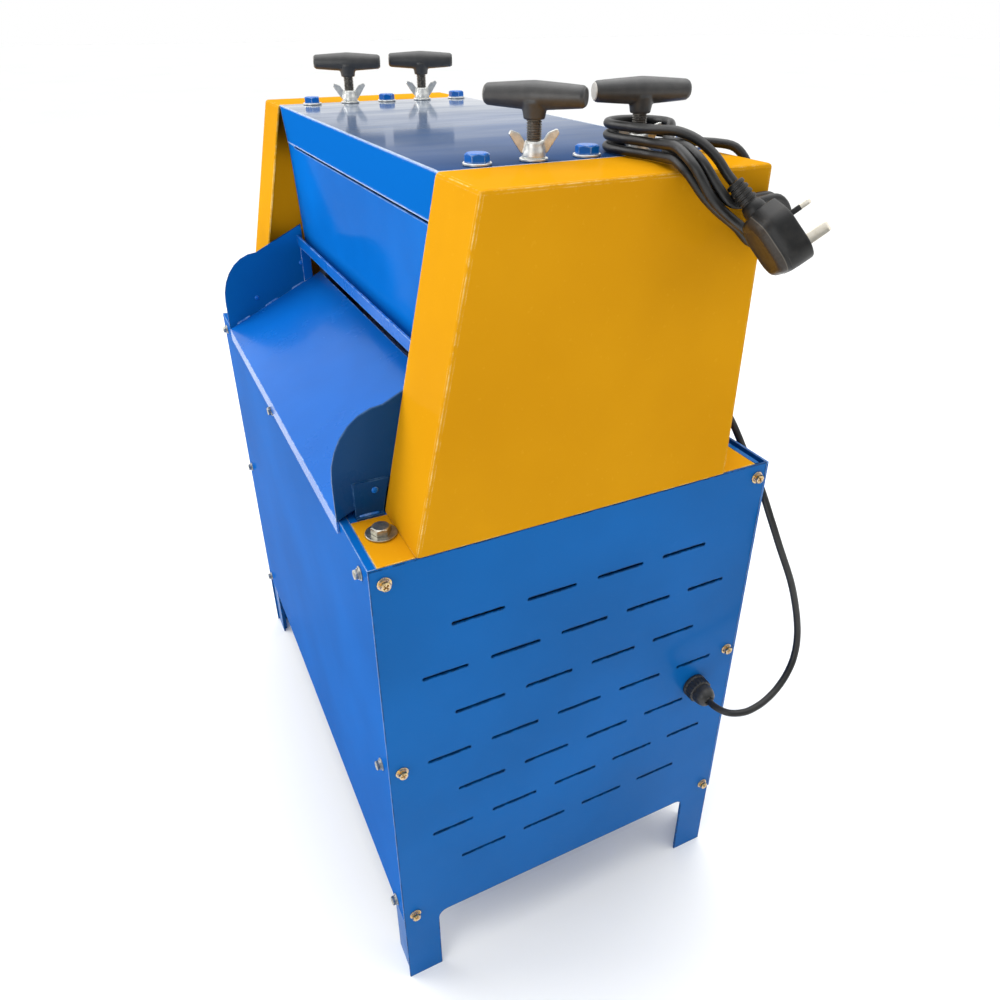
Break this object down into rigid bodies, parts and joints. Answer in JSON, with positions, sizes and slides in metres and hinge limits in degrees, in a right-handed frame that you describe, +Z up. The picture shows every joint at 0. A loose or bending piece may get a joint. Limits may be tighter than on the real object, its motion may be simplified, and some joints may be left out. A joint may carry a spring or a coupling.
{
  "type": "wire stripping machine",
  "caption": "Floor-standing powered wire stripper: sheet-metal cabinet, sloping feed tray, drive rollers and disc blades pressed down by T-grip screws, corded plug.",
  "frame": {"origin": "on the floor, under the middle of the cabinet with its gland and switch", "axes": "+X towards the side with the cable gland, -Y towards the feed tray, +Z up"},
  "size_m": [0.7841, 0.4517, 0.8904],
  "materials": {
    "blue_paint": "gloss blue enamel",
    "yellow_paint": "gloss yellow enamel",
    "cast_iron": "machined, oiled",
    "ground_steel": "ground",
    "black_steel": "blackened, oiled",
    "bright_zinc": "bright zinc plated",
    "grey_paint": "semi-matt grey enamel",
    "black_plastic": "moulded, satin",
    "green_plastic": "moulded, gloss",
    "red_plastic": "moulded, gloss",
    "black_rubber": "moulded, satin"
  },
  "bodies": {
    "cabinet": {"cabinet_frame": "blue_paint", "front_panel": "blue_paint", "rear_panel": "blue_paint", "right_side_panel": "blue_paint", "left_side_panel": "blue_paint", "top_plate": "blue_paint", "front_hood": "blue_paint", "rear_hood": "blue_paint", "feed_tray": "blue_paint", "right_tray_guard": "blue_paint", "left_tray_guard": "blue_paint", "feed_guide_bar": "blue_paint", "right_front_top_bolt": "blue_paint", "right_middle_top_bolt": "blue_paint", "right_rear_top_bolt": "blue_paint", "left_front_top_bolt": "blue_paint", "left_middle_top_bolt": "blue_paint", "left_rear_top_bolt": "blue_paint", "base_plate": "yellow_paint", "right_housing": "yellow_paint", "left_housing": "yellow_paint", "right_bearing_frame": "cast_iron", "left_bearing_frame": "cast_iron", "drive_chain": "black_steel", "right_base_bolt": "bright_zinc", "left_base_bolt": "bright_zinc", "motor": "grey_paint", "gearbox": "grey_paint", "switch_box": "black_plastic", "cable_gland": "black_plastic", "cord": "black_rubber", "cord_hank": "black_rubber", "plug": "black_rubber"},
    "front_carriage": {"front_right_bearing_block": "cast_iron", "front_left_bearing_block": "cast_iron"},
    "rear_carriage": {"rear_right_bearing_block": "cast_iron", "rear_left_bearing_block": "cast_iron"},
    "front_right_screw": {"front_right_adjusting_screw": "black_steel", "front_right_t_grip": "black_plastic"},
    "front_left_screw": {"front_left_adjusting_screw": "black_steel", "front_left_t_grip": "black_plastic"},
    "rear_right_screw": {"rear_right_adjusting_screw": "black_steel", "rear_right_t_grip": "black_plastic"},
    "rear_left_screw": {"rear_left_adjusting_screw": "black_steel", "rear_left_t_grip": "black_plastic"},
    "front_right_wing_nut_body": {"front_right_wing_nut": "bright_zinc"},
    "front_left_wing_nut_body": {"front_left_wing_nut": "bright_zinc"},
    "rear_right_wing_nut_body": {"rear_right_wing_nut": "bright_zinc"},
    "rear_left_wing_nut_body": {"rear_left_wing_nut": "bright_zinc"},
    "blade_rotor": {"blade_shaft": "ground_steel", "right_blade": "ground_steel", "left_blade": "ground_steel"},
    "press_roller": {"rear_upper_roller": "ground_steel"},
    "front_drive_roller": {"front_lower_roller": "ground_steel", "front_sprocket": "black_steel"},
    "rear_drive_roller": {"rear_lower_roller": "ground_steel", "rear_sprocket": "black_steel"},
    "gearbox_output": {"drive_sprocket": "black_steel"},
    "start_button_body": {"start_button": "green_plastic"},
    "stop_button_body": {"stop_button": "red_plastic"}
  },
  "joints": [
    {"name": "front_carriage_slide", "type": "slide", "parent": "cabinet", "child": "front_carriage", "axis": [0, 0, 1], "range_m": [-0.0045, 0.04]},
    {"name": "front_right_screw_turn", "type": "hinge", "parent": "front_carriage", "child": "front_right_screw", "pos_m": [0.246, -0.011, 0.88], "axis": [0, 0, 1], "range_deg": [-930, 8235]},
    {"name": "front_right_wing_nut_turn", "type": "hinge", "parent": "cabinet", "child": "front_right_wing_nut_body", "pos_m": [0.246, -0.011, 0.8361], "axis": [0, 0, 1], "range_deg": [0, 360]},
    {"name": "front_left_screw_turn", "type": "hinge", "parent": "front_carriage", "child": "front_left_screw", "pos_m": [-0.246, -0.011, 0.88], "axis": [0, 0, 1], "range_deg": [-930, 8235]},
    {"name": "front_left_wing_nut_turn", "type": "hinge", "parent": "cabinet", "child": "front_left_wing_nut_body", "pos_m": [-0.246, -0.011, 0.8361], "axis": [0, 0, 1], "range_deg": [0, 360]},
    {"name": "rear_carriage_slide", "type": "slide", "parent": "cabinet", "child": "rear_carriage", "axis": [0, 0, 1], "range_m": [-0.0045, 0.04]},
    {"name": "rear_right_screw_turn", "type": "hinge", "parent": "rear_carriage", "child": "rear_right_screw", "pos_m": [0.246, 0.085, 0.88], "axis": [0, 0, 1], "range_deg": [-930, 8235]},
    {"name": "rear_right_wing_nut_turn", "type": "hinge", "parent": "cabinet", "child": "rear_right_wing_nut_body", "pos_m": [0.246, 0.085, 0.8361], "axis": [0, 0, 1], "range_deg": [0, 360]},
    {"name": "rear_left_screw_turn", "type": "hinge", "parent": "rear_carriage", "child": "rear_left_screw", "pos_m": [-0.246, 0.085, 0.88], "axis": [0, 0, 1], "range_deg": [-930, 8235]},
    {"name": "rear_left_wing_nut_turn", "type": "hinge", "parent": "cabinet", "child": "rear_left_wing_nut_body", "pos_m": [-0.246, 0.085, 0.8361], "axis": [0, 0, 1], "range_deg": [0, 360]},
    {"name": "blade_rotor_spin", "type": "hinge", "parent": "front_carriage", "child": "blade_rotor", "pos_m": [0, -0.011, 0.671], "axis": [1, 0, 0], "continuous": true},
    {"name": "press_roller_spin", "type": "hinge", "parent": "rear_carriage", "child": "press_roller", "pos_m": [0, 0.085, 0.671], "axis": [1, 0, 0], "continuous": true},
    {"name": "front_drive_roller_spin", "type": "hinge", "parent": "cabinet", "child": "front_drive_roller", "pos_m": [0, -0.011, 0.598], "axis": [1, 0, 0], "continuous": true},
    {"name": "rear_drive_roller_spin", "type": "hinge", "parent": "cabinet", "child": "rear_drive_roller", "pos_m": [0, 0.085, 0.598], "axis": [1, 0, 0], "continuous": true},
    {"name": "gearbox_output_spin", "type": "hinge", "parent": "cabinet", "child": "gearbox_output", "pos_m": [-0.3, 0.037, 0.235], "axis": [1, 0, 0], "continuous": true},
    {"name": "start_button_press", "type": "slide", "parent": "cabinet", "child": "start_button_body", "axis": [1, 0, 0], "range_m": [0, 0.004], "stiffness_N_per_m": 400, "springref_m": -0.003},
    {"name": "stop_button_press", "type": "slide", "parent": "cabinet", "child": "stop_button_body", "axis": [1, 0, 0], "range_m": [0, 0.004], "stiffness_N_per_m": 400, "springref_m": -0.003}
  ],
  "couplings": [
    {"joint": "front_right_screw_turn", "follows": "front_carriage_slide", "rad_per_m": 3590.4},
    {"joint": "front_left_screw_turn", "follows": "front_carriage_slide", "rad_per_m": 3590.4},
    {"joint": "rear_right_screw_turn", "follows": "rear_carriage_slide", "rad_per_m": 3590.4},
    {"joint": "rear_left_screw_turn", "follows": "rear_carriage_slide", "rad_per_m": 3590.4},
    {"joint": "rear_drive_roller_spin", "follows": "front_drive_roller_spin", "ratio": 1},
    {"joint": "gearbox_output_spin", "follows": "front_drive_roller_spin", "ratio": 1}
  ]
}
